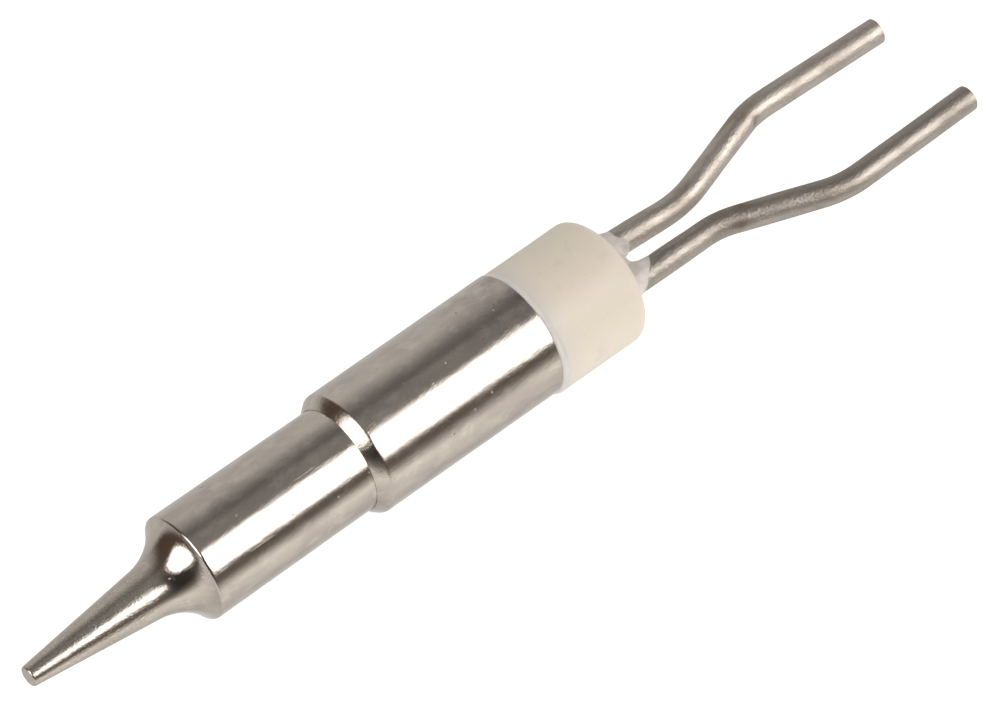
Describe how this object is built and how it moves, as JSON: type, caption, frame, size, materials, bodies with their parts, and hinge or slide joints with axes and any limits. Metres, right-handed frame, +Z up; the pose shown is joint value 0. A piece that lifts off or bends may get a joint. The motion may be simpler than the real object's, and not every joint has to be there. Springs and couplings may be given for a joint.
{
  "type": "heated soldering tip",
  "caption": "Plug-in heated tip: pointed nickel-plated bit and sleeve on a cream ceramic base with bent lead pins.",
  "frame": {"origin": "on the barrel's axis, about midway along the rear sleeve's straight wall", "axes": "+X along the barrel from the tip to the leads, +Z up, the leads spread in the XY plane"},
  "size_m": [0.0559, 0.0082, 0.0068],
  "materials": {
    "nickel_plate": "bright nickel plating, lightly scuffed",
    "lead_nickel": "satin drawn nickel wire, faintly heat tinted",
    "base_ceramic": "unglazed cream ceramic",
    "seal_cement": "translucent grey-white sealing cement",
    "inner_ceramic": "unglazed white ceramic",
    "inner_cement": "fired potting cement",
    "resistance_alloy": "oxidised nickel-chromium wire",
    "ferrule_nickel": "plain nickel tube"
  },
  "bodies": {
    "root": {"soldering_bit": "nickel_plate", "barrel_sleeve": "nickel_plate", "ceramic_base": "base_ceramic", "lead_pin_far": "lead_nickel", "lead_pin_near": "lead_nickel", "lead_seal_far": "seal_cement", "lead_seal_near": "seal_cement", "base_joint_cement": "seal_cement", "front_insulator_disc": "inner_ceramic", "rear_insulator_disc": "inner_ceramic", "insulating_liner": "inner_ceramic", "heater_core": "inner_ceramic", "terminal_block": "inner_ceramic", "potting_cement": "inner_cement", "resistance_coil": "resistance_alloy", "return_wire": "ferrule_nickel", "crimp_ferrule_far": "ferrule_nickel", "crimp_ferrule_near": "ferrule_nickel"}
  },
  "joints": []
}
